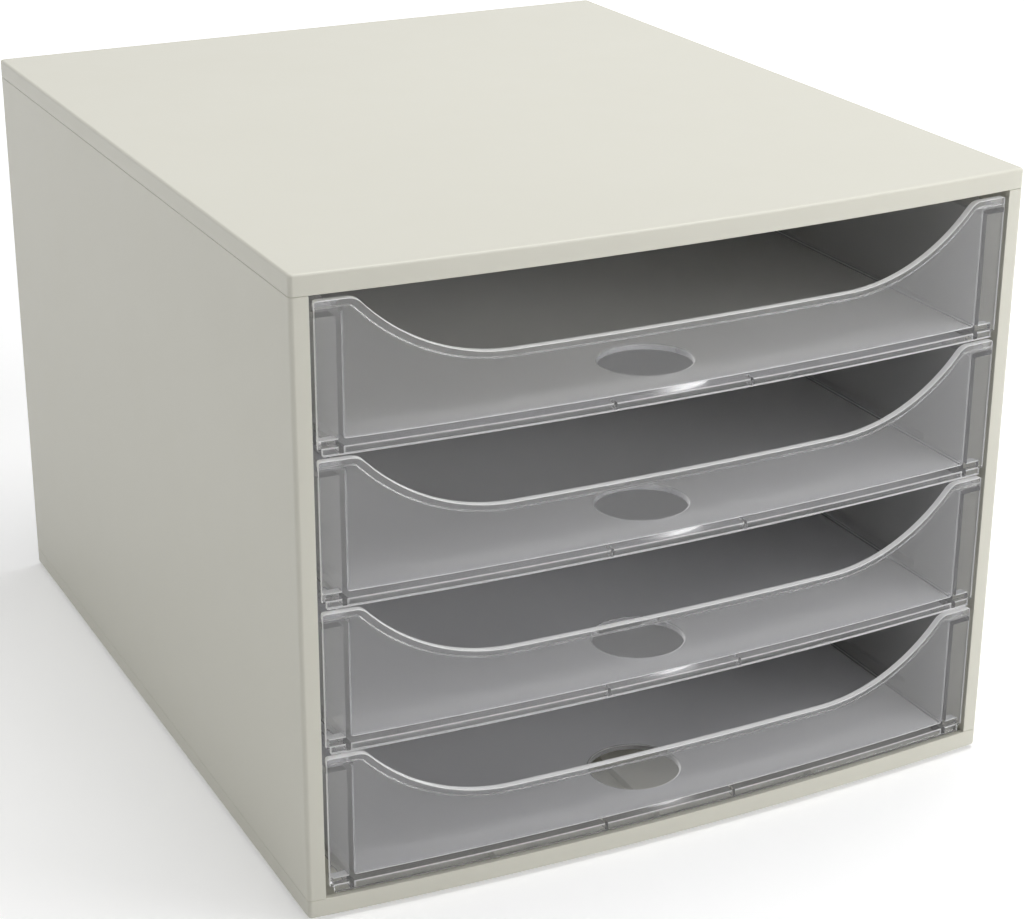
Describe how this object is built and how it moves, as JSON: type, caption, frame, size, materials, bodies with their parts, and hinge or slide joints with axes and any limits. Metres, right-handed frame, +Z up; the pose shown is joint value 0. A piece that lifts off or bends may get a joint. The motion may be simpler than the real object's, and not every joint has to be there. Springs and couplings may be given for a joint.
{
  "type": "desktop file drawer unit",
  "caption": "Desktop file unit: moulded casing with a bowed front and clear sliding drawers with curved finger cut-outs, for letter-size papers.",
  "frame": {"origin": "middle of the footprint, on the surface that the feet rest on", "axes": "+Z up, the open bowed front faces -Y, +X is the right side seen from the front"},
  "size_m": [0.284, 0.3376, 0.2366],
  "materials": {
    "casing_plastic": "satin off-white moulded polystyrene",
    "clear_plastic": "clear grey-tinted polished polystyrene",
    "foot_rubber": "matt dark rubber"
  },
  "bodies": {
    "casing": {"base": "casing_plastic", "top_cover": "casing_plastic", "left_side_panel": "casing_plastic", "right_side_panel": "casing_plastic", "back_panel": "casing_plastic", "foot_front_left": "foot_rubber", "foot_front_right": "foot_rubber", "foot_rear_left": "foot_rubber", "foot_rear_right": "foot_rubber"},
    "drawer_1": {"drawer_1": "clear_plastic"},
    "drawer_2": {"drawer_2": "clear_plastic"},
    "drawer_3": {"drawer_3": "clear_plastic"},
    "drawer_4": {"drawer_4": "clear_plastic"}
  },
  "joints": [
    {"name": "drawer_1_slide", "type": "slide", "parent": "casing", "child": "drawer_1", "axis": [0, -1, 0], "range_m": [0, 0.24]},
    {"name": "drawer_2_slide", "type": "slide", "parent": "casing", "child": "drawer_2", "axis": [0, -1, 0], "range_m": [0, 0.24]},
    {"name": "drawer_3_slide", "type": "slide", "parent": "casing", "child": "drawer_3", "axis": [0, -1, 0], "range_m": [0, 0.24]},
    {"name": "drawer_4_slide", "type": "slide", "parent": "casing", "child": "drawer_4", "axis": [0, -1, 0], "range_m": [0, 0.24]}
  ]
}
